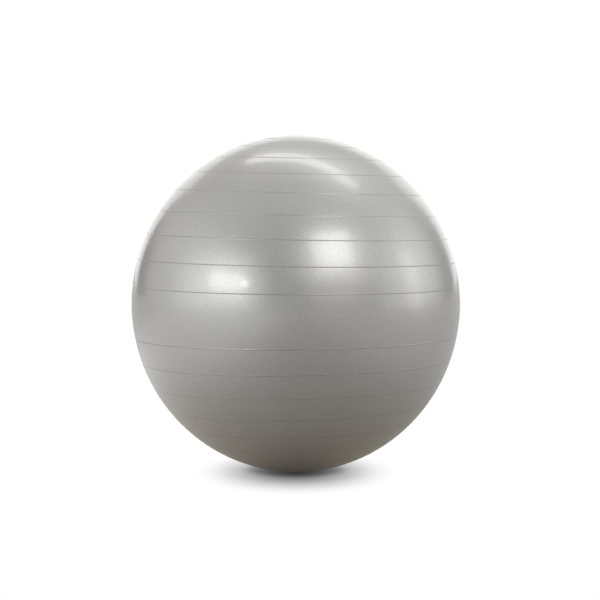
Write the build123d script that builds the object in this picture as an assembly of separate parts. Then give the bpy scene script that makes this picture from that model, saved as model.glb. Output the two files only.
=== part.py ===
"""Exercise ball: a hollow moulded shell with raised rings, and the valve seat and plug that close it.

Millimetres. +Z is up, and the ball stands on the floor at the origin. The rings lie level, one above
another, around +Z. The valve is on the back of the ball, on the smooth band, and points along +Y.
"""

import os
from math import cos, radians, sin, sqrt

from build123d import *

# Driving dimensions of the ball
INFLATED_HEIGHT = 650.0
BAND_DIAMETER = 634.0
CONTACT_RADIUS = 30.0
WALL = 1.0

# Raised rings, placed by latitude in degrees from the ball's mid-height
PARTING_LATITUDE = -2.6
UPPER_PITCH = 8.8
LOWER_PITCH = 8.65
RINGS_PER_HALF = 9
RING_WIDTH = 2.0
RING_HEIGHT = 0.7

# Valve seat, moulded into a thickened pad of the shell
SEAT_RADIUS = 12.0
RIM_WIDTH = 3.4
RECESS_DEPTH = 1.8
NOTCH_RADIUS = 2.2
NOTCH_EXTRA_DEPTH = 0.8
FLANGE_LIP = 5.0
FLANGE_THICKNESS = 1.2
PAD_LIP = 2.0
PAD_DEPTH = 2.0
BORE_RADIUS = 4.3
NECK_WALL = 1.7
NECK_LENGTH = 20.0
NECK_ROOT_FILLET = 1.0

# Plug, sized from the seat it closes
HEAD_CLEARANCE = 0.4
HEAD_SINK = 0.1
HEAD_EDGE_FILLET = 0.5
SHANK_CLEARANCE = 0.05
SHANK_LENGTH = 22.0
SHANK_STRAIGHT = 8.0
SHANK_TAPER = 0.95
SHANK_TIP_FILLET = 1.2
DIMPLE_RADIUS = 2.5
DIMPLE_DEPTH = 0.5

# The ball is an oval, a little taller than it is wide, pressed flat where it touches the floor
BAND_RADIUS = BAND_DIAMETER / 2
FLAT_RATIO = sqrt(1 - (CONTACT_RADIUS / BAND_RADIUS) ** 2)
POLE_RADIUS = INFLATED_HEIGHT / (1 + FLAT_RATIO)
CENTRE_HEIGHT = POLE_RADIUS * FLAT_RATIO


def shell_depth(across):
    """How far out the surface is at mid-height, measured along the valve, at a distance to its side."""
    return sqrt(BAND_RADIUS**2 - across**2)


# Radii of the seat and the plug, each from the piece that it fits
RECESS_RADIUS = SEAT_RADIUS - RIM_WIDTH
FLANGE_RADIUS = SEAT_RADIUS + FLANGE_LIP
PAD_RADIUS = FLANGE_RADIUS + PAD_LIP
NECK_RADIUS = BORE_RADIUS + NECK_WALL
HEAD_RADIUS = RECESS_RADIUS - HEAD_CLEARANCE
SHANK_RADIUS = BORE_RADIUS - SHANK_CLEARANCE

# Distances from the ball's upright axis, out along the valve
SEAT_FACE = shell_depth(SEAT_RADIUS)
PAD_FACE = BAND_RADIUS - WALL - PAD_DEPTH
FLANGE_FACE = PAD_FACE - FLANGE_THICKNESS
NECK_END = FLANGE_FACE - NECK_LENGTH
RECESS_FLOOR = SEAT_FACE - RECESS_DEPTH
HEAD_TOP = SEAT_FACE - HEAD_SINK
VALVE_PLANE = Plane(origin=(0, 0, CENTRE_HEIGHT), x_dir=(1, 0, 0), z_dir=(0, 1, 0))


def half_section(band_radius, pole_radius, floor):
    """One side of the oval's upright section, cut off flat at floor height."""
    oval = Pos(0, CENTRE_HEIGHT) * Ellipse(band_radius, pole_radius)
    keep = Pos(0, floor) * Rectangle(BAND_DIAMETER, 2 * INFLATED_HEIGHT, align=(Align.MIN, Align.MIN))
    return oval & keep


def ring_latitudes():
    """Latitudes of the raised rings, counted away from the parting line both ways."""
    upper = [PARTING_LATITUDE + UPPER_PITCH * step for step in range(1, RINGS_PER_HALF + 1)]
    lower = [PARTING_LATITUDE - LOWER_PITCH * step for step in range(1, RINGS_PER_HALF + 1)]
    return upper + lower


def ring_section(latitude):
    """The round bead of one ring, sunk so that only its crest stands out of the shell."""
    bead_radius = (RING_WIDTH**2 / 4 + RING_HEIGHT**2) / (2 * RING_HEIGHT)
    sunk = bead_radius - RING_HEIGHT
    across = (BAND_RADIUS - sunk) * cos(radians(latitude))
    up = CENTRE_HEIGHT + (POLE_RADIUS - sunk) * sin(radians(latitude))
    return Pos(across, up) * Circle(bead_radius)


def valve_disc(radius, inner, outer):
    """A round slug on the valve's axis, between two distances from the ball's upright axis."""
    slug = Cylinder(radius, outer - inner, align=(Align.CENTER, Align.CENTER, Align.MIN))
    return VALVE_PLANE * Pos(0, 0, inner) * slug


def make_ball_shell():
    """Closed skin of even thickness with its rings, and a pad inside it that the valve seat sits in."""
    section = half_section(BAND_RADIUS, POLE_RADIUS, 0)
    for latitude in ring_latitudes():
        section += ring_section(latitude)
    section -= half_section(BAND_RADIUS - WALL, POLE_RADIUS - WALL, WALL)
    skin = revolve(Plane.XZ * section, Axis.Z)
    pad_root = shell_depth(PAD_RADIUS) - WALL / 4
    pad = valve_disc(PAD_RADIUS, PAD_FACE, pad_root)
    hole = valve_disc(SEAT_RADIUS, NECK_END, BAND_RADIUS + WALL)
    return skin + pad - hole


def make_valve_seat():
    """Round insert flush with the skin: a flange behind the pad and a soft neck into the ball."""
    body = valve_disc(SEAT_RADIUS, FLANGE_FACE, SEAT_FACE) + valve_disc(FLANGE_RADIUS, FLANGE_FACE, PAD_FACE)
    seat = body + valve_disc(NECK_RADIUS, NECK_END, FLANGE_FACE)
    smallest_rings = seat.edges().filter_by(GeomType.CIRCLE).group_by(SortBy.RADIUS)[0]
    neck_root = smallest_rings.sort_by(Axis.Y)[-1]
    seat = fillet(neck_root, NECK_ROOT_FILLET)
    seat -= valve_disc(RECESS_RADIUS, RECESS_FLOOR, SEAT_FACE)
    seat -= valve_disc(BORE_RADIUS, NECK_END, SEAT_FACE)
    notch = valve_disc(NOTCH_RADIUS, RECESS_FLOOR - NOTCH_EXTRA_DEPTH, SEAT_FACE)
    return seat - Pos(0, 0, RECESS_RADIUS) * notch


def make_valve_plug():
    """Stopper: a flat head in the seat's recess and a shank that tapers to its tip."""
    taper_start = RECESS_FLOOR - SHANK_STRAIGHT
    tip = RECESS_FLOOR - SHANK_LENGTH
    outline = Polyline(
        (0, tip),
        (SHANK_RADIUS - SHANK_TAPER, tip),
        (SHANK_RADIUS, taper_start),
        (SHANK_RADIUS, RECESS_FLOOR),
        (HEAD_RADIUS, RECESS_FLOOR),
        (HEAD_RADIUS, HEAD_TOP),
        (0, HEAD_TOP),
        close=True,
    )
    section = Pos(0, 0, CENTRE_HEIGHT) * make_face(outline)
    plug = revolve(section, Axis((0, 0, CENTRE_HEIGHT), (0, 1, 0)))
    tip_rim = plug.edges().filter_by(GeomType.CIRCLE).sort_by(Axis.Y)[0]
    plug = fillet(tip_rim, SHANK_TIP_FILLET)
    head_rim = plug.edges().filter_by(GeomType.CIRCLE).sort_by(Axis.Y)[-1]
    plug = fillet(head_rim, HEAD_EDGE_FILLET)
    return plug - valve_disc(DIMPLE_RADIUS, HEAD_TOP - DIMPLE_DEPTH, HEAD_TOP)


def main():
    """Write one STEP file for each separate piece."""
    os.makedirs("parts", exist_ok=True)
    export_step(make_ball_shell(), "parts/ball_shell.step")
    export_step(make_valve_seat(), "parts/valve_seat.step")
    export_step(make_valve_plug(), "parts/valve_plug.step")


main()
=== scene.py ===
# %% [markdown]
# # Exercise ball
#
# An exercise ball is one hollow skin of soft vinyl, moulded by turning a heated mould, with
# a valve seat moulded into it and a push-in plug. This lesson shapes those three pieces, gives
# each its finish, and then lights them in a pale studio.
#
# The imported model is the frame: every size that it knows is read from it, and each new piece
# stands in the same place as the plain one that it takes over from.

# %% Load the frame
from math import atan2, cos, hypot, pi, radians, sin, sqrt

import bmesh
import bpy
from mathutils import Matrix, Vector
from mathutils.geometry import intersect_line_sphere


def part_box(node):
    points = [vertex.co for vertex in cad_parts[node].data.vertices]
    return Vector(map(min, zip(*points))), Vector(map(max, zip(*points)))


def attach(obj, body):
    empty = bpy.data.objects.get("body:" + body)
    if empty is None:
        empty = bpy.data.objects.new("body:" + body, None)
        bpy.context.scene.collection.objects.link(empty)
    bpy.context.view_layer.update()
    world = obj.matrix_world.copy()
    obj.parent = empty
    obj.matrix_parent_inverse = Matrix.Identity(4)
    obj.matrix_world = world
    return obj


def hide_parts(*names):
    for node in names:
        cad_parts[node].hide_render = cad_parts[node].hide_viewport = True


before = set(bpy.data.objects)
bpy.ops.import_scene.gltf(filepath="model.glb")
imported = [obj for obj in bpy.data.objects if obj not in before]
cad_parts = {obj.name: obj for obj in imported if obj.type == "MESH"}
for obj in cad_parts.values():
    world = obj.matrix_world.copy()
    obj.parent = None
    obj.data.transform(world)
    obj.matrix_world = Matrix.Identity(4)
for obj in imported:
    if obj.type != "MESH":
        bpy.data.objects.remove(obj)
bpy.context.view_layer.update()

# %% [markdown]
# ## The oval
#
# The inflated ball is a little taller than it is wide, and its own weight presses a small flat
# patch where it meets the floor. Its upright section is half an ellipse with its foot cut off.
# A latitude names each point of that section, and a turn about the upright axis does the rest.
# A sphere with a scale on it would look much the same, but its rows couldn't be placed one by one,
# and the raised rings need rows exactly where they run.

# %% Sizes of the ball
shell_low, shell_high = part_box("ball_shell")
BAND_RADIUS = (shell_high.x - shell_low.x) / 2
CONTACT_RADIUS = 0.030
WALL = 0.001
FLAT_RATIO = sqrt(1 - (CONTACT_RADIUS / BAND_RADIUS) ** 2)
POLE_RADIUS = (shell_high.z - shell_low.z) / (1 + FLAT_RATIO)
CENTRE = Vector((0, 0, shell_high.z - POLE_RADIUS))


def oval_point(latitude, inward=0.0):
    """A point of the upright section, or of one a little inside it."""
    across = (BAND_RADIUS - inward) * cos(latitude)
    up = (POLE_RADIUS - inward) * sin(latitude)
    return CENTRE + Vector((across, 0, up))


def oval_normal(point):
    """The direction straight out of the oval at a point on it."""
    away = point - CENTRE
    return Vector((away.x / BAND_RADIUS**2, away.y / BAND_RADIUS**2, away.z / POLE_RADIUS**2)).normalized()


def oval_depth(across, up, inward=0.0):
    """How far back the oval lies, beside and above the middle of the valve."""
    band = BAND_RADIUS - inward
    return band * sqrt(1 - (across / band) ** 2 - (up / (POLE_RADIUS - inward)) ** 2)


print("band radius", round(BAND_RADIUS, 4), "pole radius", round(POLE_RADIUS, 4))

# %% [markdown]
# ## Where the rings run
#
# Raised rings give grip and stiffen the skin. They are counted away from the mould's parting line,
# in the middle of the wide smooth band, and they are spaced a little wider above it than below it.
# The mesh could have even rows all the way up, but only the rings need close ones. So the rows
# bunch up at each ring and stay far apart between rings.

# %% Rows of the skin
PARTING_LATITUDE = radians(-2.6)
UPPER_PITCH = radians(8.8)
LOWER_PITCH = radians(8.65)
RINGS_PER_HALF = 9
RING_HALF_WIDTH = 0.0010
ROUND_STEPS = 288
COLUMN_ANGLE = 2 * pi / ROUND_STEPS
BEAD_STATIONS = (-1.4, -1, -2 / 3, -1 / 3, 0, 1 / 3, 2 / 3, 1, 1.4)
SMOOTH_BAND_STEPS = range(-7, 5)
PATCH_PARTS = 3
BAND_PARTS = 4
CROWN_PARTS = 5

upper_rings = [PARTING_LATITUDE + UPPER_PITCH * step for step in range(1, RINGS_PER_HALF + 1)]
lower_rings = [PARTING_LATITUDE - LOWER_PITCH * step for step in range(RINGS_PER_HALF, 0, -1)]
ring_latitudes = lower_rings + upper_rings
ring_half_angle = RING_HALF_WIDTH / BAND_RADIUS
patch_latitude = -atan2(FLAT_RATIO, CONTACT_RADIUS / BAND_RADIUS)


def between(start, end, count):
    """Latitudes that cut the way from start to end into equal parts, without its two ends."""
    return [start + (end - start) * step / count for step in range(1, count)]


def skin_rows():
    """Every row of the skin, from the middle of the flat patch up to the crown."""
    edge = BEAD_STATIONS[-1] * ring_half_angle
    rows = [-pi / 2] + between(-pi / 2, patch_latitude, PATCH_PARTS) + [patch_latitude]
    for ring in ring_latitudes:
        if ring == upper_rings[0]:
            rows += [COLUMN_ANGLE * step for step in SMOOTH_BAND_STEPS]
        else:
            rows += between(rows[-1], ring - edge, BAND_PARTS)
        rows += [ring + station * ring_half_angle for station in BEAD_STATIONS]
    return rows + between(rows[-1], pi / 2, CROWN_PARTS) + [pi / 2]


rows = skin_rows()
print(len(ring_latitudes), "rings on", len(rows), "rows of", ROUND_STEPS, "columns")

# %% [markdown]
# ## How far the skin stands out
#
# A ring's section is a smooth bead. The square of a cosine starts and ends flat, so the bead runs
# into the skin without an edge. The skin between two rings is thinner than at the rings, so the air
# bulges it by a fraction of a millimetre. That is too little to see as shape, but it breaks each
# highlight into steps, which is what makes such a ball look inflated. A shallow parabola gives it.
#
# The skin of a moulded ball is never quite even: here one side has stretched less than the other,
# so the rings draw together on that side. Turning each row a little about the ball's middle, most
# at mid-latitudes and not at all at the poles, gives that lean and keeps every point on the oval.

# %% Beads, bulges and the lean of the rings
RING_HEIGHT = 0.0004
BULGE = 0.00022
CREST_REACH = 1.5
RING_LEAN = radians(1.4)


def skin_rise(latitude):
    """How far the moulded skin stands out from the oval at a latitude."""
    if latitude < ring_latitudes[0] - ring_half_angle:
        return 0.0
    over_the_crown = pi - ring_latitudes[-1]
    stops = ring_latitudes + [over_the_crown]
    nearest = min(stops, key=lambda stop: abs(stop - latitude))
    offset = (latitude - nearest) / ring_half_angle
    bead = RING_HEIGHT * cos(pi / 2 * offset) ** 2 if abs(offset) < 1 else 0.0
    above = next((stop for stop in stops if stop > latitude), stops[0])
    below = stops[max(stops.index(above) - 1, 0)]
    width = max(above - below, ring_half_angle)
    along = (2 * latitude - above - below) / width
    return bead + BULGE * width / UPPER_PITCH * max(1 - along**2, 0)


def outer_section():
    """The upright section of the outer skin, with its beads and bulges."""
    plain = [oval_point(row) for row in rows]
    return [point + oval_normal(point) * skin_rise(row) for point, row in zip(plain, rows)]


def ring_share(point):
    """One on the crest of a ring, and nothing beside it, for a point not yet leaned."""
    latitude = atan2((point.z - CENTRE.z) / POLE_RADIUS, hypot(point.x, point.y) / BAND_RADIUS)
    nearest = min(abs(ring - latitude) for ring in ring_latitudes) / ring_half_angle
    return cos(pi / 2 * nearest / CREST_REACH) ** 2 if nearest < CREST_REACH else 0.0


def leaned(point):
    """Where the lean of the rings takes a point of the skin, pressed flat at the floor."""
    unit = Vector((point.x / BAND_RADIUS, point.y / BAND_RADIUS, (point.z - CENTRE.z) / POLE_RADIUS))
    latitude = atan2(unit.z, hypot(unit.x, unit.y))
    turned = Matrix.Rotation(RING_LEAN * sin(2 * latitude), 3, "Y") @ unit
    place = CENTRE + Vector((turned.x * BAND_RADIUS, turned.y * BAND_RADIUS, turned.z * POLE_RADIUS))
    place.z = max(place.z, shell_low.z)
    return place


print("bead crest", round(skin_rise(upper_rings[0]) * 1000, 2), "mm")

# %% [markdown]
# ## Spinning the skin
#
# The upright section is drawn once, as a chain of edges, and spun about the upright axis. A full
# turn of this many rows would be slow in one go, so a thin slice is spun, and then copied round,
# twice as much each time. The same helper makes the outer skin and the plain inner one. A square
# window is left open at the back of each, where the valve goes.

# %% Spin a section and open a window in it
DOUBLINGS = 5
SLICE_STEPS = ROUND_STEPS // 2**DOUBLINGS
WINDOW_STEPS = 4


def spin_section(bm, points, axis, angle, steps):
    """Spins a chain of points about an axis through the ball's middle."""
    verts = [bm.verts.new(point) for point in points]
    edges = [bm.edges.new(pair) for pair in zip(verts, verts[1:])]
    bmesh.ops.spin(
        bm, geom=verts + edges, cent=CENTRE, axis=axis, dvec=(0, 0, 0), angle=angle, steps=steps,
        use_merge=angle == 2 * pi, use_normal_flip=False, use_duplicate=False,
    )


def merge_doubles(bm):
    """Closes the seams and the poles."""
    bmesh.ops.remove_doubles(bm, verts=bm.verts, dist=1e-6)


def open_window(bm):
    """Deletes the faces of a square at the back of a skin."""
    reach = WINDOW_STEPS * COLUMN_ANGLE * BAND_RADIUS
    middles = [(face, face.calc_center_median() - CENTRE) for face in bm.faces]
    inside = [
        face for face, middle in middles
        if middle.y > 0 and abs(middle.x) < reach and abs(middle.z) < reach
    ]
    bmesh.ops.delete(bm, geom=inside, context="FACES")


def spin_skin(points):
    """A skin of revolution about the upright axis, with the valve's window cut in it."""
    bm = bmesh.new()
    spin_section(bm, points, (0, 0, 1), SLICE_STEPS * COLUMN_ANGLE, SLICE_STEPS)
    for doubling in range(DOUBLINGS):
        copied = bmesh.ops.duplicate(bm, geom=bm.verts[:] + bm.edges[:] + bm.faces[:])["geom"]
        verts = [item for item in copied if isinstance(item, bmesh.types.BMVert)]
        turn = Matrix.Rotation(SLICE_STEPS * COLUMN_ANGLE * 2**doubling, 3, "Z")
        bmesh.ops.rotate(bm, verts=verts, cent=CENTRE, matrix=turn)
    merge_doubles(bm)
    open_window(bm)
    return bm


print("a slice of", SLICE_STEPS, "columns, doubled", DOUBLINGS, "times")

# %% [markdown]
# ## The valve's hole
#
# The skin is thickened to a pad behind the smooth band, and a round hole goes through both. Square
# windows turn into that round hole by bridging loops: each loop has as many points as the window's
# edge, so every bridge is a clean band of four-sided faces. A boolean cut would leave long slivers
# that catch the light.
#
# A low moulded rim runs round the hole, as a finger guide to the plug.

# %% Sizes of the valve and its loops
FLANGE_LIP = 0.005
PAD_LIP = 0.002
PAD_DEPTH = 0.002
seat_low, seat_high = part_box("valve_seat")
plug_low, plug_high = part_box("valve_plug")
SEAT_FACE = seat_high.y
NECK_END = seat_low.y
FLANGE_RADIUS = (seat_high.x - seat_low.x) / 2
SEAT_RADIUS = FLANGE_RADIUS - FLANGE_LIP
PAD_RADIUS = FLANGE_RADIUS + PAD_LIP
PAD_FACE = BAND_RADIUS - WALL - PAD_DEPTH
RIM_RADII = (0.0185, 0.0166, 0.0160, 0.0154, 0.0148, 0.0142, 0.0136, 0.0130, 0.0123, SEAT_RADIUS)
RIM_MIDDLE = 0.0148
RIM_HALF_WIDTH = 0.0018
RIM_HEIGHT = 0.0004
LOOP_POINTS = 8 * WINDOW_STEPS


def valve_loop(bm, radius, depth=None, inward=0.0):
    """A round loop about the valve's axis: flat at one depth, or lying on the oval."""
    turn = Matrix.Translation(CENTRE) @ Matrix.Rotation(pi / 2, 4, "X")
    verts = bmesh.ops.create_circle(
        bm, cap_ends=False, radius=radius, segments=LOOP_POINTS, matrix=turn,
    )["verts"]
    offset = (radius - RIM_MIDDLE) / RIM_HALF_WIDTH
    rim = RIM_HEIGHT * cos(pi / 2 * offset) ** 2 if abs(offset) < 1 and not inward else 0.0
    for vert in verts:
        up = vert.co.z - CENTRE.z
        vert.co.y = oval_depth(vert.co.x, up, inward) + rim if depth is None else depth
    return list({edge for vert in verts for edge in vert.link_edges})


print("seat radius", round(SEAT_RADIUS, 4), "pad face", round(PAD_FACE, 4), "loops of", LOOP_POINTS)

# %% [markdown]
# ## From loops to one closed skin
#
# The shell is closed: its outer surface runs through the hole, round the pad and into the plain
# inner surface. A Solidify modifier would give the wall too, but it would copy the beads onto the
# inside and couldn't make the pad. So the inside is a skin of its own, and a run of bridged loops
# joins the two. The mesh is handed over with smooth faces, and stays at the origin.

# %% Helpers for the shell
INNER_ROWS_EACH_WAY = 70
INNER_ROW_STEP = 2


def link_piece(bm, name):
    """Turns a finished bmesh into an object with smooth faces, at the origin."""
    mesh = bpy.data.meshes.new(name)
    bm.to_mesh(mesh)
    bm.free()
    mesh.shade_smooth()
    piece = bpy.data.objects.new(name, mesh)
    bpy.context.scene.collection.objects.link(piece)
    print(name, len(mesh.polygons), "faces")
    return piece


def boundary(bm, known=()):
    """The edges with a face on one side only, apart from those already known."""
    return [edge for edge in bm.edges if edge.is_boundary and edge not in known]


def bridge_through(bm, loop, next_loops):
    """Bridges a loop to the next one, that one to the one after it, and so on."""
    for next_loop in next_loops:
        bmesh.ops.bridge_loops(bm, edges=loop + next_loop)
        loop = next_loop


def inner_section():
    """The plain inside of the skin, with its rows close together only beside the valve."""
    wide = [*range(WINDOW_STEPS + INNER_ROW_STEP, INNER_ROWS_EACH_WAY + 1, INNER_ROW_STEP)]
    close = [*range(-WINDOW_STEPS, WINDOW_STEPS + 1)]
    steps = [-step for step in reversed(wide)] + close + wide
    return [oval_point(row, WALL) for row in [-pi / 2, *(COLUMN_ANGLE * step for step in steps), pi / 2]]


print("inner rows:", len(inner_section()))

# %% [markdown]
# ## The shell
#
# Before the rings are leaned, each point notes in an attribute how near it is to a ring's crest.
# The finish reads that later, so that the painted shade and the duller coat on the rings follow the mesh
# however it is bent.

# %% Make the shell
def make_outer_skin():
    """The outer surface, with the share of each ring noted and the lean put in."""
    bm = spin_skin(outer_section())
    rings = bm.verts.layers.float.new("rings")
    for vert in bm.verts:
        vert[rings] = ring_share(vert.co)
        vert.co = leaned(vert.co)
    return bm


def make_inner_skin():
    """The inner surface as a mesh, pressed flat over the floor patch."""
    bm = spin_skin(inner_section())
    for vert in bm.verts:
        vert.co.z = max(vert.co.z, shell_low.z + WALL)
    mesh = bpy.data.meshes.new("inner skin")
    bm.to_mesh(mesh)
    bm.free()
    return mesh


def make_shell():
    """The whole closed skin: outer surface, hole, pad and inner surface in one."""
    bm = make_outer_skin()
    outer_window = boundary(bm)
    bm.from_mesh(make_inner_skin())
    inner_window = boundary(bm, set(outer_window))
    rim = [valve_loop(bm, radius) for radius in RIM_RADII]
    hole_back = valve_loop(bm, SEAT_RADIUS, PAD_FACE)
    pad_edge = valve_loop(bm, PAD_RADIUS, PAD_FACE)
    pad_root = valve_loop(bm, PAD_RADIUS, inward=WALL)
    bridge_through(bm, outer_window, rim + [hole_back, pad_edge, pad_root, inner_window])
    bmesh.ops.recalc_face_normals(bm, faces=bm.faces)
    return link_piece(bm, "vinyl_shell")


shell = make_shell()
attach(shell, "ball")
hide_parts("ball_shell")

# %% [markdown]
# ## Turned pieces
#
# The seat and the plug are both round about the valve's axis, so one section spun about that axis
# makes each of them. Moulded vinyl and plastic have no sharp edge anywhere, so a Bevel modifier
# rounds every corner of a finished piece. It is easier to change than rounding drawn in the section.

# %% Helpers for turned pieces
TURNED_STEPS = 96


def turned_piece(name, section):
    """Spins a section, given as (radius, depth) pairs, about the valve's axis."""
    bm = bmesh.new()
    points = [CENTRE + Vector((0, depth, radius)) for radius, depth in section]
    spin_section(bm, points, (0, 1, 0), 2 * pi, TURNED_STEPS)
    merge_doubles(bm)
    bmesh.ops.recalc_face_normals(bm, faces=bm.faces)
    return link_piece(bm, name)


def round_edges(piece, width):
    """Rounds every corner sharper than 30 degrees."""
    bevel = piece.modifiers.new("soft moulded edges", "BEVEL")
    bevel.width = width
    bevel.segments = 3
    bevel.profile = 0.5
    bevel.limit_method = "ANGLE"
    bevel.angle_limit = radians(30)
    bevel.harden_normals = True


print("turned in", TURNED_STEPS, "steps")

# %% [markdown]
# ## The valve seat
#
# The seat has a face flush with the skin, a recess for the plug's head, a flange behind the pad,
# and a neck with the bore in it. A thumbnail notch is cut in the recess's edge, so that the plug
# can be prised out. It is the one shape here that isn't turned, and a boolean is safe for it,
# because the flat faces that it cuts show no slivers.

# %% Make the seat
BORE_RADIUS = 0.0043
NECK_WALL = 0.0017
RIM_WIDTH = 0.0034
RECESS_DEPTH = 0.0018
FLANGE_THICKNESS = 0.0012
NOTCH_RADIUS = 0.0022
NOTCH_EXTRA_DEPTH = 0.0008
SEAT_EDGE = 0.00025
NECK_RADIUS = BORE_RADIUS + NECK_WALL
RECESS_RADIUS = SEAT_RADIUS - RIM_WIDTH
RECESS_FLOOR = SEAT_FACE - RECESS_DEPTH
FLANGE_FACE = PAD_FACE - FLANGE_THICKNESS
NOTCH_FLOOR = RECESS_FLOOR - NOTCH_EXTRA_DEPTH


def make_seat():
    """Flange, neck, bore and recess, in one turned piece."""
    section = [
        (BORE_RADIUS, NECK_END), (NECK_RADIUS, NECK_END), (NECK_RADIUS, FLANGE_FACE),
        (FLANGE_RADIUS, FLANGE_FACE), (FLANGE_RADIUS, PAD_FACE), (SEAT_RADIUS, PAD_FACE),
        (SEAT_RADIUS, SEAT_FACE), (RECESS_RADIUS, SEAT_FACE), (RECESS_RADIUS, RECESS_FLOOR),
        (BORE_RADIUS, RECESS_FLOOR),
    ]
    return turned_piece("valve_seat_insert", section + section[:1])


def cut_notch(piece):
    """Cuts a small round notch at the top of the recess, into the piece's own mesh."""
    bm = bmesh.new()
    middle = CENTRE + Vector((0, (SEAT_FACE + NOTCH_FLOOR) / 2 + NOTCH_RADIUS / 2, RECESS_RADIUS))
    bmesh.ops.create_cone(
        bm, cap_ends=True, segments=32, radius1=NOTCH_RADIUS, radius2=NOTCH_RADIUS,
        depth=SEAT_FACE - NOTCH_FLOOR + NOTCH_RADIUS,
        matrix=Matrix.Translation(middle) @ Matrix.Rotation(pi / 2, 4, "X"),
    )
    cutter = link_piece(bm, "notch_cutter")
    cut = piece.modifiers.new("notch", "BOOLEAN")
    cut.object = cutter
    cut.operation = "DIFFERENCE"
    shaped = bpy.data.meshes.new_from_object(piece.evaluated_get(bpy.context.evaluated_depsgraph_get()))
    piece.modifiers.clear()
    piece.data = shaped
    bpy.data.objects.remove(cutter)


seat = make_seat()
cut_notch(seat)
round_edges(seat, SEAT_EDGE)
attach(seat, "ball")
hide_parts("valve_seat")

# %% [markdown]
# ## The plug
#
# The plug is a stopper with a flat head and a tapered shank. Three low beads on the shank are what
# the neck's wall closes on. They reach the shank's full radius, and the shank between them is a
# little thinner, so nothing on the plug is wider than the bore. The head has the small dimple that
# moulding leaves.

# %% Sections of the plug
HEAD_RADIUS = (plug_high.x - plug_low.x) / 2
HEAD_TOP = plug_high.y
PLUG_TIP = plug_low.y
SHANK_RADIUS = BORE_RADIUS - 0.00005
TIP_RADIUS = SHANK_RADIUS - 0.00095
TIP_CORNER_ACROSS = 0.0011
TIP_CORNER_ALONG = 0.0009
BEAD_DEPTHS = (0.0022, 0.0048, 0.0074)
BEAD_HALF_LENGTH = 0.0007
BEAD_HEIGHT = 0.00025
DIMPLE_EDGE_RADIUS = 0.0030
DIMPLE_RADIUS = 0.0025
DIMPLE_DEPTH = 0.0005
DIMPLE_SIDE_DEPTH = 0.0004
PLUG_EDGE = 0.00035


def shank_section():
    """The shank's side from its tip to the head: a taper, then three beads."""
    root = SHANK_RADIUS - BEAD_HEIGHT
    section = [
        (0, PLUG_TIP), (TIP_RADIUS - TIP_CORNER_ACROSS, PLUG_TIP), (TIP_RADIUS, PLUG_TIP + TIP_CORNER_ALONG),
        (root, RECESS_FLOOR - BEAD_DEPTHS[-1] - 2 * BEAD_HALF_LENGTH),
    ]
    for depth in reversed(BEAD_DEPTHS):
        for step in range(-3, 4):
            lift = BEAD_HEIGHT * cos(pi / 6 * step) ** 2
            section.append((root + lift, RECESS_FLOOR - depth + BEAD_HALF_LENGTH * step / 3))
    return section + [(root, RECESS_FLOOR)]


def head_section():
    """The head's outline from its underside to the dimple in the middle of its top."""
    return [
        (HEAD_RADIUS, RECESS_FLOOR), (HEAD_RADIUS, HEAD_TOP), (DIMPLE_EDGE_RADIUS, HEAD_TOP),
        (DIMPLE_RADIUS, HEAD_TOP - DIMPLE_SIDE_DEPTH), (0, HEAD_TOP - DIMPLE_DEPTH),
    ]


print("head radius", round(HEAD_RADIUS, 4), "shank", len(shank_section()), "points")

# %% [markdown]
# ## Spinning the plug
#
# The shank's section ends at the head's underside, where the head's section begins, so one chain of
# points makes the whole plug. It could be two pieces joined, but then a seam would run round the
# shank. The chain starts and ends on the axis, where merging the doubles closes it.

# %% Make the plug
plug = turned_piece("push_plug", shank_section() + head_section())
round_edges(plug, PLUG_EDGE)
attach(plug, "plug")
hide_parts("valve_plug")

# %% [markdown]
# ## Helpers for nodes
#
# A finish is a small tree of nodes. Each node could be added and wired by hand every time, which
# takes three lines a node. These helpers do the wiring, so that a finish reads as its own recipe.

# %% Helpers for nodes
def add_node(tree, kind, **settings):
    """A new node with its properties set."""
    made = tree.nodes.new(kind)
    for name, value in settings.items():
        setattr(made, name, value)
    return made


def set_inputs(made, **values):
    """Sets a node's sockets by their names, with underscores for spaces."""
    for name, value in values.items():
        made.inputs[name.replace("_", " ")].default_value = value
    return made


def math_node(tree, operation, first, second=0.0):
    """A Math node fed by two sockets or numbers; returns its result."""
    made = add_node(tree, "ShaderNodeMath", operation=operation)
    for socket, value in zip(made.inputs, (first, second)):
        if isinstance(value, (int, float)):
            socket.default_value = value
        else:
            tree.links.new(value, socket)
    return made.outputs[0]


def ramp(tree, value, low, high, from_low=0.0, from_high=1.0):
    """Maps a value's range onto another with soft ends."""
    made = add_node(tree, "ShaderNodeMapRange", interpolation_type="SMOOTHSTEP")
    set_inputs(made, From_Min=from_low, From_Max=from_high, To_Min=low, To_Max=high)
    tree.links.new(value, made.inputs["Value"])
    return made.outputs["Result"]


def mix_colours(tree, factor, first, second):
    """Blends two colours, or sockets, by a factor."""
    made = add_node(tree, "ShaderNodeMix", data_type="RGBA")
    tree.links.new(factor, made.inputs[0])
    for socket, value in ((made.inputs[6], first), (made.inputs[7], second)):
        if isinstance(value, tuple):
            socket.default_value = value
        else:
            tree.links.new(value, socket)
    return made.outputs[2]


print("helpers:", [helper.__name__ for helper in (add_node, set_inputs, math_node, ramp, mix_colours)])

# %% [markdown]
# ## A shared grain
#
# Soft vinyl and moulded plastic both carry a fine grain from the mould, at their own scales. It is
# one node group with named inputs, placed in each material with its own values. It puts out a speck
# value, for colour and gloss, and a height, for the bump.

# %% The grain group
WAVE_SCALE = 0.12
GRAIN_INPUTS = (
    ("Place", "NodeSocketVector", (0, 0, 0)),
    ("Grain Size", "NodeSocketFloat", 0.002),
    ("Wave Share", "NodeSocketFloat", 0.3),
)


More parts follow.
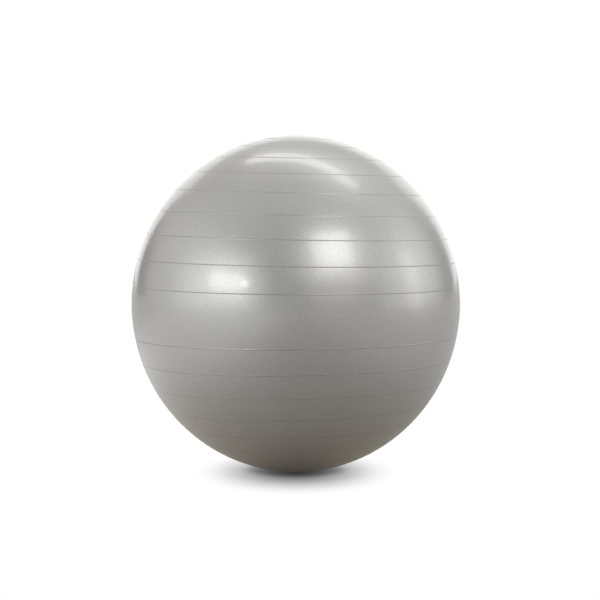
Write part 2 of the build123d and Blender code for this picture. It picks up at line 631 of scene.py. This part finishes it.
def make_grain_group():
    """Fine mould grain over slower waves, as a speck value and a height."""
    group = bpy.data.node_groups.new("mould grain", "ShaderNodeTree")
    for name, kind, default in GRAIN_INPUTS:
        group.interface.new_socket(name, in_out="INPUT", socket_type=kind).default_value = default
    for name in ("Speck", "Height"):
        group.interface.new_socket(name, in_out="OUTPUT", socket_type="NodeSocketFloat")
    entry = add_node(group, "NodeGroupInput")
    leave = add_node(group, "NodeGroupOutput")
    scale = math_node(group, "DIVIDE", 1.0, entry.outputs["Grain Size"])
    fine = set_inputs(add_node(group, "ShaderNodeTexNoise"), Detail=2.0, Roughness=0.6)
    wave = set_inputs(add_node(group, "ShaderNodeTexNoise"), Detail=1.0, Roughness=0.5)
    group.links.new(entry.outputs["Place"], fine.inputs["Vector"])
    group.links.new(entry.outputs["Place"], wave.inputs["Vector"])
    group.links.new(scale, fine.inputs["Scale"])
    group.links.new(math_node(group, "MULTIPLY", scale, WAVE_SCALE), wave.inputs["Scale"])
    group.links.new(fine.outputs["Fac"], leave.inputs["Speck"])
    waves = math_node(group, "MULTIPLY", wave.outputs["Fac"], entry.outputs["Wave Share"])
    group.links.new(math_node(group, "ADD", fine.outputs["Fac"], waves), leave.inputs["Height"])
    return group


grain_group = make_grain_group()
print("grain:", [item.name for item in grain_group.interface.items_tree])

# %% [markdown]
# ## A material with the grain in it
#
# All three finishes begin the same way: a Principled shader with the mould grain on its normal,
# read from the object's own coordinates so that it sits still on the piece. Each finish then adds
# its own colour and gloss.

# %% Start a material
def start_material(name, grain_size, wave_share, bump_distance, bump_strength):
    """A Principled material with the mould grain on its normal; returns its parts."""
    material = bpy.data.materials.new(name)
    material.use_nodes = True
    tree = material.node_tree
    shader = tree.nodes["Principled BSDF"]
    place = add_node(tree, "ShaderNodeTexCoord").outputs["Object"]
    grain = add_node(tree, "ShaderNodeGroup", node_tree=grain_group)
    set_inputs(grain, Grain_Size=grain_size, Wave_Share=wave_share)
    tree.links.new(place, grain.inputs["Place"])
    bump = set_inputs(add_node(tree, "ShaderNodeBump"), Strength=bump_strength, Distance=bump_distance)
    tree.links.new(grain.outputs["Height"], bump.inputs["Height"])
    tree.links.new(bump.outputs["Normal"], shader.inputs["Normal"])
    return material, tree, shader, place, grain.outputs["Speck"]


def wear(piece, material):
    """Gives a piece its one material."""
    piece.data.materials.clear()
    piece.data.materials.append(material)
    print(piece.name, "wears", material.name)


print("pieces to finish:", [piece.name for piece in (shell, seat, plug)])

# %% [markdown]
# ## Pearl vinyl
#
# The skin is silver vinyl with mica flakes in it, under its own smooth surface. Two lobes show that:
# a broad soft one from the flakes, which is the metallic share of the shader, and a tight one from
# the surface, which is its coat. The flakes are cells a millimetre across, each a little lighter or
# darker. The crests of the rings carry painted shade, a darker colour, and a thinner coat makes them duller.

# %% Pearl vinyl
PEARL_COOL = (0.405, 0.406, 0.401, 1)
PEARL_WARM = (0.386, 0.381, 0.370, 1)
# Painted shade on the ring crests: its dark colour, and how far it is mixed in.
RING_SHADE_COLOUR = (0.16, 0.155, 0.145, 1)
RING_SHADE_STRENGTH = 0.46
FLAKES_PER_METRE = 900.0


def pearl_colour(tree, place, speck, drift):
    """A faint drift of warm and cool, lightened and darkened flake by flake."""
    flakes = set_inputs(add_node(tree, "ShaderNodeTexVoronoi"), Scale=FLAKES_PER_METRE)
    tree.links.new(place, flakes.inputs["Vector"])
    glint = add_node(tree, "ShaderNodeSeparateColor")
    tree.links.new(flakes.outputs["Color"], glint.inputs["Color"])
    lightness = math_node(tree, "ADD", math_node(tree, "MULTIPLY", glint.outputs["Red"], 0.5),
                          math_node(tree, "MULTIPLY", speck, 0.5))
    pearl = add_node(tree, "ShaderNodeHueSaturation")
    body = mix_colours(tree, ramp(tree, drift, 0, 1, 0.35, 0.65), PEARL_COOL, PEARL_WARM)
    tree.links.new(body, pearl.inputs["Color"])
    tree.links.new(ramp(tree, lightness, 0.90, 1.10, 0.2, 0.8), pearl.inputs["Value"])
    return pearl.outputs["Color"]


def make_pearl_vinyl():
    """Silver vinyl: flakes, a smooth coat, and duller crests on the rings, with painted shade on them."""
    material, tree, shader, place, speck = start_material("pearl vinyl", 0.0022, 0.5, 0.00012, 0.35)
    noise = set_inputs(add_node(tree, "ShaderNodeTexNoise"), Scale=3.2, Detail=2.0, Roughness=0.5)
    tree.links.new(place, noise.inputs["Vector"])
    drift = noise.outputs["Fac"]
    rings = add_node(tree, "ShaderNodeAttribute", attribute_name="rings").outputs["Fac"]
    # Painted shade: the colour darkens towards each ring's crest, and the coat is thinner there.
    crest = ramp(tree, rings, 0, RING_SHADE_STRENGTH, 0.1, 0.9)
    colour = mix_colours(tree, crest, pearl_colour(tree, place, speck, drift), RING_SHADE_COLOUR)
    tree.links.new(colour, shader.inputs["Base Color"])
    tree.links.new(ramp(tree, drift, 0.36, 0.42, 0.3, 0.7), shader.inputs["Roughness"])
    tree.links.new(ramp(tree, rings, 0.7, 0.55, 0.1, 0.9), shader.inputs["Coat Weight"])
    set_inputs(shader, Metallic=0.45, IOR=1.5, Coat_Roughness=0.13, Coat_IOR=1.5)
    return material


wear(shell, make_pearl_vinyl())

# %% [markdown]
# ## Seat vinyl and plug plastic
#
# The seat is plain grey vinyl, softer and duller than the skin. The plug is white plastic, waxy and
# a little shinier. Both are one moulded colour, so one recipe makes them: the grain's speck moves
# the shade and the gloss a little, which keeps a plain colour from looking painted on.

# %% Seat vinyl and plug plastic
SEAT_SHADES = ((0.30, 0.30, 0.29, 1), (0.34, 0.34, 0.33, 1))
PLUG_SHADES = ((0.80, 0.80, 0.77, 1), (0.84, 0.84, 0.82, 1))
PLAIN_BUMP = 0.4


def make_moulded_colour(name, grain_size, wave_share, bump_distance, shades, gloss):
    """One moulded colour between two close shades, with its roughness between two values."""
    material, tree, shader, _, speck = start_material(name, grain_size, wave_share, bump_distance, PLAIN_BUMP)
    shade = mix_colours(tree, ramp(tree, speck, 0, 1, 0.3, 0.7), *shades)
    tree.links.new(shade, shader.inputs["Base Color"])
    tree.links.new(ramp(tree, speck, *gloss, 0.3, 0.7), shader.inputs["Roughness"])
    return material


wear(seat, make_moulded_colour("seat vinyl", 0.0005, 0.3, 0.00004, SEAT_SHADES, (0.50, 0.60)))
wear(plug, make_moulded_colour("plug plastic", 0.0004, 0.2, 0.00003, PLUG_SHADES, (0.34, 0.42)))

# %% [markdown]
# ## The floor
#
# The camera sees a plain white floor with a soft shade under the ball, and a darker line where the
# two touch. The floor gives off its own light, so that it is evenly white out to the horizon, and
# such a floor takes no shadow. So the shade is put in by place: an oval that grows lighter outwards,
# with ambient occlusion for the line.
#
# What the ball mirrors is another thing: a dim glowing table, with painted light to both sides, and painted
# shade and a warm tint in its glow near the ball.
# If the ball mirrored the white floor, its lower half would be as bright as its upper half. The
# Light Path node's camera ray tells the two floors apart.

# %% Shade and glow of the floor
SHADE_THROW = 0.02
SHADE_WIDTH = 0.20
SHADE_LENGTH = 0.30
SHADE_START = -0.15
TOUCH_REACH = 0.02
SHADE_COLOUR = (0.02, 0.02, 0.023, 1)
FLOOR_COLOUR = (1.0, 1.0, 1.0, 1)
# The glow that the ball mirrors is painted light: brighter to the left and to the right, dim in the middle,
# warm near the ball and near white far off.
LEFT_PAINTED_LIGHT = 0.62
RIGHT_PAINTED_LIGHT = 0.30
MIDDLE_GLOW = 0.28
NEAR_GLOW_COLOUR = (1.0, 0.90, 0.74, 1)
FAR_GLOW_COLOUR = (1.0, 0.99, 0.975, 1)


def shade_spread(tree, across, back):
    """Nothing in the middle of the ball's shade, and one at the edge of its oval."""
    behind = math_node(tree, "ADD", back, SHADE_THROW)
    wide = math_node(tree, "POWER", math_node(tree, "DIVIDE", across, SHADE_WIDTH), 2.0)
    deep = math_node(tree, "POWER", math_node(tree, "DIVIDE", behind, SHADE_LENGTH), 2.0)
    return math_node(tree, "SQRT", math_node(tree, "ADD", wide, deep))


def seen_floor(tree, thrown):
    """What the camera sees: white, with the soft shade and the line of contact."""
    nearby = set_inputs(add_node(tree, "ShaderNodeAmbientOcclusion", samples=8), Distance=TOUCH_REACH)
    contact = ramp(tree, nearby.outputs["AO"], 0.5, 1.0, 0.0, 0.7)
    light = math_node(tree, "MULTIPLY", math_node(tree, "POWER", thrown, 1.5), contact)
    seen = add_node(tree, "ShaderNodeEmission")
    tree.links.new(mix_colours(tree, light, SHADE_COLOUR, FLOOR_COLOUR), seen.inputs["Color"])
    return seen.outputs[0]


def mirrored_floor(tree, across, back, spread, thrown):
    """What the ball mirrors: a dim glowing table, warm and with painted shade near the ball, and painted
    light to both sides.
    """
    left = math_node(tree, "MULTIPLY", ramp(tree, across, LEFT_PAINTED_LIGHT, 0.0, -0.8, 0.0),
                     ramp(tree, back, 1.0, 0.5, 0.4, 2.2))
    right = ramp(tree, across, 0.0, RIGHT_PAINTED_LIGHT, 0.0, 0.9)
    glow = math_node(tree, "ADD", math_node(tree, "ADD", left, right), MIDDLE_GLOW)
    mirrored = add_node(tree, "ShaderNodeEmission")
    # Painted shade: the glow dims near the ball, inside its oval.
    strength = math_node(tree, "MULTIPLY", glow, ramp(tree, thrown, 0.28, 1.0))
    tree.links.new(strength, mirrored.inputs["Strength"])
    colour = mix_colours(tree, ramp(tree, spread, 0.0, 1.0, 0.3, 3.5), NEAR_GLOW_COLOUR, FAR_GLOW_COLOUR)
    tree.links.new(colour, mirrored.inputs["Color"])
    return mirrored.outputs[0]


print("shade", SHADE_WIDTH, "m to each side and", SHADE_LENGTH, "m to the front and back")

# %% [markdown]
# ## One floor for two viewers
#
# A real studio has a curved sweep from the floor up to a wall, and so could this one. A flat square
# that runs out of sight is simpler, and the white surround behind it hides its far edge.

# %% Make the floor
FLOOR_HALF = 30.0


def make_floor_material():
    """Two floors in one: the camera's white one, and the dim one that the ball mirrors."""
    material = bpy.data.materials.new("pale floor")
    material.use_nodes = True
    tree = material.node_tree
    tree.nodes.clear()
    place = add_node(tree, "ShaderNodeSeparateXYZ")
    tree.links.new(add_node(tree, "ShaderNodeTexCoord").outputs["Object"], place.inputs[0])
    across, back = place.outputs["X"], place.outputs["Y"]
    spread = shade_spread(tree, across, back)
    thrown = ramp(tree, spread, 0.0, 1.0, SHADE_START, 1.0)
    choice = add_node(tree, "ShaderNodeMixShader")
    tree.links.new(add_node(tree, "ShaderNodeLightPath").outputs["Is Camera Ray"], choice.inputs[0])
    tree.links.new(mirrored_floor(tree, across, back, spread, thrown), choice.inputs[1])
    tree.links.new(seen_floor(tree, thrown), choice.inputs[2])
    output = add_node(tree, "ShaderNodeOutputMaterial")
    tree.links.new(choice.outputs[0], output.inputs["Surface"])
    return material


floor_bm = bmesh.new()
bmesh.ops.create_grid(floor_bm, x_segments=1, y_segments=1, size=FLOOR_HALF)
floor = link_piece(floor_bm, "studio_floor")
floor.data.materials.append(make_floor_material())

# %% [markdown]
# ## The room
#
# A glossy ball looks like the room that it stands in. The camera sees only white, but the ball
# mirrors a grey room with bright soft walls, a lit backdrop behind the ball, and two flags. A flag
# is a dark cloth beside the set: it draws the dark line inside the bright rim. An image of a real
# room could do this, but soft patches placed by direction can be moved one at a time.

# %% Walls, flags and backdrop
# Each soft wall: azimuth from the front, positive to the right, then elevation, reach and brightness.
# A flag takes brightness away.
SOFT_WALLS = {
    "left window": (304, 2, 44, 1.4),
    "left wall": (262, 12, 42, 0.42),
    "key glow": (29, 28, 31, 1.25),
    "right window": (92, 8, 40, 1.1),
    "ceiling": (120, 56, 34, 0.35),
    "left flag": (212, 0, 24, -0.45),
    "right flag": (126, 2, 26, -0.25),
}
WALL_CORE = 6
BACKDROP = 1.5
# Each edge of the backdrop: its axis, where it ends, and where it is fully bright.
BACKDROP_EDGES = (("X", -0.54, -0.48), ("X", 0.62, 0.48), ("Z", -0.20, -0.10), ("Z", 0.60, 0.44))


def heading(azimuth, elevation):
    """The direction of a wall from the ball, out of its two angles in degrees."""
    flat = Vector((sin(radians(azimuth)), -cos(radians(azimuth)), 0)) * cos(radians(elevation))
    return flat + Vector((0, 0, sin(radians(elevation))))


def soft_wall(tree, place, direction, reach, brightness):
    """A bright patch of the room, fading out towards its reach in degrees."""
    facing = add_node(tree, "ShaderNodeVectorMath", operation="DOT_PRODUCT")
    tree.links.new(place, facing.inputs[0])
    facing.inputs[1].default_value = direction
    return ramp(tree, facing.outputs["Value"], 0, brightness, cos(radians(reach)), cos(radians(WALL_CORE)))


def soft_edge(tree, value, outer, inner):
    """Nothing beyond outer and one past inner, whichever of the two is larger."""
    if outer < inner:
        return ramp(tree, value, 0.0, 1.0, outer, inner)
    return ramp(tree, value, 1.0, 0.0, inner, outer)


print("around the ball:", ", ".join(SOFT_WALLS))

# %% [markdown]
# ## Putting the room together
#
# Light adds up, so each wall is added to the room. The backdrop is different: it stands in front of
# the room and hides it, so the brighter of the two is taken. To the camera all of it is white.

# %% Make the room
def room_light(tree, place, parts):
    """A grey room that is brighter above and behind, with its walls added and its flags taken off."""
    room = math_node(tree, "MULTIPLY", ramp(tree, parts.outputs["Z"], 0.40, 0.66, -0.1, 0.9),
                     ramp(tree, parts.outputs["Y"], 0.15, 1.0, -0.95, -0.2))
    for azimuth, elevation, reach, brightness in SOFT_WALLS.values():
        wall = soft_wall(tree, place, heading(azimuth, elevation), reach, brightness)
        room = math_node(tree, "ADD", room, wall)
    return room


def backdrop_light(tree, parts):
    """The lit backdrop behind the ball, with four soft edges."""
    backdrop = ramp(tree, parts.outputs["Y"], 0, BACKDROP, 0.0, 0.1)
    for axis, outer, inner in BACKDROP_EDGES:
        backdrop = math_node(tree, "MULTIPLY", backdrop, soft_edge(tree, parts.outputs[axis], outer, inner))
    return backdrop


def make_world():
    """White to the camera; to the ball, the room and its backdrop."""
    world = bpy.data.worlds.new("studio")
    world.use_nodes = True
    tree = world.node_tree
    tree.nodes.clear()
    place = add_node(tree, "ShaderNodeTexCoord").outputs["Generated"]
    parts = add_node(tree, "ShaderNodeSeparateXYZ")
    tree.links.new(place, parts.inputs[0])
    room = math_node(tree, "MAXIMUM", room_light(tree, place, parts), backdrop_light(tree, parts))
    camera_ray = add_node(tree, "ShaderNodeLightPath").outputs["Is Camera Ray"]
    background = set_inputs(add_node(tree, "ShaderNodeBackground"), Color=(1.0, 1.0, 0.99, 1))
    tree.links.new(math_node(tree, "MAXIMUM", room, camera_ray), background.inputs["Strength"])
    output = add_node(tree, "ShaderNodeOutputWorld")
    tree.links.new(background.outputs[0], output.inputs["Surface"])
    return world


bpy.context.scene.world = make_world()
bpy.context.scene.view_settings.view_transform = "Standard"
print("world:", bpy.context.scene.world.name)

# %% [markdown]
# ## Camera
#
# A long lens far back keeps the rings nearly straight; a short lens close by would bend them. The
# camera stands a little above the ball's middle, and aims slightly up and to the right of it.

# %% Camera
CAMERA_RISE = radians(3.6)
CAMERA_DISTANCE = 3.73
CAMERA_LENS = 115.4
AIM_OFFSET = Vector((0.0081, 0, 0.0066))
TO_CAMERA = Vector((0, -cos(CAMERA_RISE), sin(CAMERA_RISE)))
UPRIGHT = Vector((0, sin(CAMERA_RISE), cos(CAMERA_RISE)))

camera_data = bpy.data.cameras.new("camera")
camera_data.lens = CAMERA_LENS
camera_data.sensor_width = 36
camera = bpy.data.objects.new("camera", camera_data)
camera.location = CENTRE + TO_CAMERA * CAMERA_DISTANCE
camera.rotation_mode = "QUATERNION"
camera.rotation_quaternion = (CENTRE + AIM_OFFSET - camera.location).to_track_quat("-Z", "Y")
bpy.context.scene.collection.objects.link(camera)
bpy.context.scene.camera = camera
print("camera at", [round(value, 3) for value in camera.location])

# %% [markdown]
# ## Lamps
#
# Each highlight on a round glossy thing is a picture of one lamp, so each lamp is placed by the
# spot of the ball that is to show it: how far right and how far up of the ball's middle, as a share
# of its radius. The camera's line of sight, mirrored in the skin at that spot, leads to the lamp.
# The oval is squeezed to a sphere for a moment, because there the line of sight is easy to meet.

# %% Lamps
def spot_on_ball(right, up):
    """The point of the skin that the camera sees at a spot."""
    target = CENTRE + Vector((right * BAND_RADIUS, 0, 0)) + UPRIGHT * (up * POLE_RADIUS)
    rounded = Matrix.Diagonal((1, 1, BAND_RADIUS / POLE_RADIUS))
    start, end = (rounded @ (point - CENTRE) for point in (camera.location, target))
    hits = intersect_line_sphere(start, end, Vector(), BAND_RADIUS, False)
    nearest = min(hits, key=lambda point: (point - start).length)
    return CENTRE + rounded.inverted() @ nearest


def add_lamp(name, spot, distance, size, power, spin=0.0):
    """A soft box that the ball mirrors at a spot (right, up), turned by spin about its own middle."""
    hit = spot_on_ball(*spot)
    towards = (hit - camera.location).normalized().reflect(oval_normal(hit))
    data = bpy.data.lights.new(name, "AREA")
    data.shape = "RECTANGLE"
    data.size, data.size_y = size
    data.energy = power
    lamp = bpy.data.objects.new(name, data)
    lamp.rotation_mode = "QUATERNION"
    lamp.rotation_quaternion = towards.to_track_quat("Z", "Y") @ Matrix.Rotation(spin, 3, "Z").to_quaternion()
    lamp.location = hit + towards * distance
    bpy.context.scene.collection.objects.link(lamp)
    print(name, "at", [round(value, 2) for value in lamp.location])


add_lamp("key box", (0.225, 0.315), 2.0, (1.0, 0.90), 10)
add_lamp("right strip", (0.71, 0.15), 2.0, (0.45, 1.1), 2)
add_lamp("left box", (-0.42, 0.135), 2.0, (1.0, 0.45), 6)
add_lamp("left bulb", (-0.31, 0.115), 2.0, (0.12, 0.14), 1.0)
add_lamp("overhead bar", (0.09, 0.845), 1.8, (2.0, 0.30), 6, spin=radians(-13))
